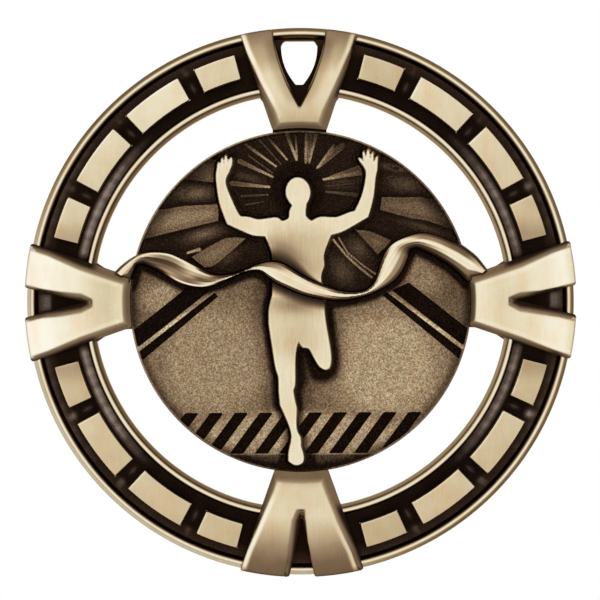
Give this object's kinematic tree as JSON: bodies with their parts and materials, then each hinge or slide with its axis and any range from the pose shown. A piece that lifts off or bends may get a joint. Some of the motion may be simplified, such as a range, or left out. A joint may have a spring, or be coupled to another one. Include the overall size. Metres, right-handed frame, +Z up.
{
  "type": "sports finisher medal",
  "caption": "Round openwork medal: tiled ring, tapered brackets and a centre disc with a runner breaking a tape, hung from a slot at the top.",
  "frame": {"origin": "centre of the medal, half way through its thickness", "axes": "+Z up to the ribbon slot, -Y the way the face looks, +X to the right seen from the face"},
  "size_m": [0.06, 0.0036, 0.06],
  "materials": {
    "ring": "antique brass plating, dark patina in the channel and polished rims",
    "tile": "antique brass plating, brushed",
    "bracket": "antique brass plating, brushed satin",
    "disc": "antique brass plating, sandblasted with dark patina",
    "figure": "antique brass plating, brushed satin",
    "tape": "antique brass plating, polished edges"
  },
  "bodies": {
    "root": {"ring_frame": "ring", "centre_disc": "disc", "runner": "figure", "finish_tape": "tape", "bracket_top": "bracket", "bracket_left": "bracket", "bracket_bottom": "bracket", "bracket_right": "bracket", "tile_upper_left_1": "tile", "tile_upper_left_2": "tile", "tile_upper_left_3": "tile", "tile_upper_left_4": "tile", "tile_lower_left_1": "tile", "tile_lower_left_2": "tile", "tile_lower_left_3": "tile", "tile_lower_left_4": "tile", "tile_lower_right_1": "tile", "tile_lower_right_2": "tile", "tile_lower_right_3": "tile", "tile_lower_right_4": "tile", "tile_upper_right_1": "tile", "tile_upper_right_2": "tile", "tile_upper_right_3": "tile", "tile_upper_right_4": "tile"}
  },
  "joints": []
}
